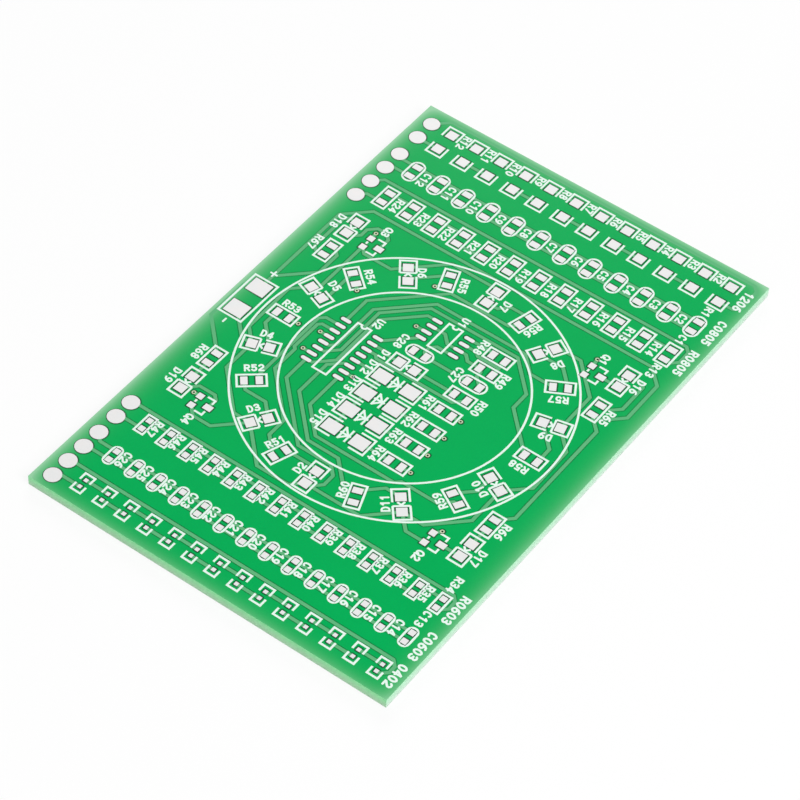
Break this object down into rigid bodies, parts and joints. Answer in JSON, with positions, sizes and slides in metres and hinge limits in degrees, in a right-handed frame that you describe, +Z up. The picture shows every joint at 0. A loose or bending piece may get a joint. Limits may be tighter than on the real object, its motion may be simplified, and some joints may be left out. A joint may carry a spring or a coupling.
{
  "type": "soldering practice board",
  "caption": "Bare green circuit board for soldering practice: rows of chip lands, a ring of light positions, timer and counter footprints, round test lands, white print.",
  "frame": {"origin": "middle of the underside, on the surface that the board lies on", "axes": "+Z up out of the printed face, +X along the rows from the round test lands, +Y from the smallest chip row to the largest"},
  "size_m": [0.0574, 0.0882, 0.0016],
  "materials": {
    "laminate": "pale translucent glass-epoxy, sawn edge",
    "solder_mask_top": "glossy green solder mask",
    "solder_mask_bottom": "glossy green solder mask",
    "masked_copper": "copper seen through green solder mask",
    "tin": "bright hot-air levelled tin",
    "via_plating": "tinned plating",
    "ink": "white printed ink"
  },
  "bodies": {
    "root": {"laminate": "laminate", "solder_mask_top": "solder_mask_top", "solder_mask_bottom": "solder_mask_bottom", "plated_vias": "via_plating", "series_row_tracks": "masked_copper", "parallel_row_tracks": "masked_copper", "supply_tracks": "masked_copper", "light_common_tracks": "masked_copper", "counter_tracks": "masked_copper", "timer_tracks": "masked_copper", "light_tracks": "masked_copper", "corner_tracks": "masked_copper", "diode_tracks": "masked_copper", "test_lands": "tin", "lands_1206": "tin", "lands_c0805": "tin", "lands_r0805": "tin", "lands_r0603": "tin", "lands_c0603": "tin", "lands_0402": "tin", "ring_led_lands": "tin", "ring_resistor_lands": "tin", "corner_led_lands": "tin", "corner_resistor_lands": "tin", "transistor_lands": "tin", "timer_lands": "tin", "counter_lands": "tin", "timer_resistor_lands": "tin", "timer_capacitor_lands": "tin", "signal_led_lands": "tin", "diode_lands": "tin", "diode_resistor_lands": "tin", "power_lands": "tin", "print_1206": "ink", "print_c0805": "ink", "print_r0805": "ink", "print_r0603": "ink", "print_c0603": "ink", "print_0402": "ink", "ring_circles": "ink", "ring_led_print": "ink", "ring_resistor_print": "ink", "corner_led_print": "ink", "corner_resistor_print": "ink", "transistor_print": "ink", "timer_print": "ink", "counter_print": "ink", "timer_resistor_print": "ink", "timer_capacitor_print": "ink", "signal_led_print": "ink", "diode_print": "ink", "diode_resistor_print": "ink", "power_print": "ink"}
  },
  "joints": []
}
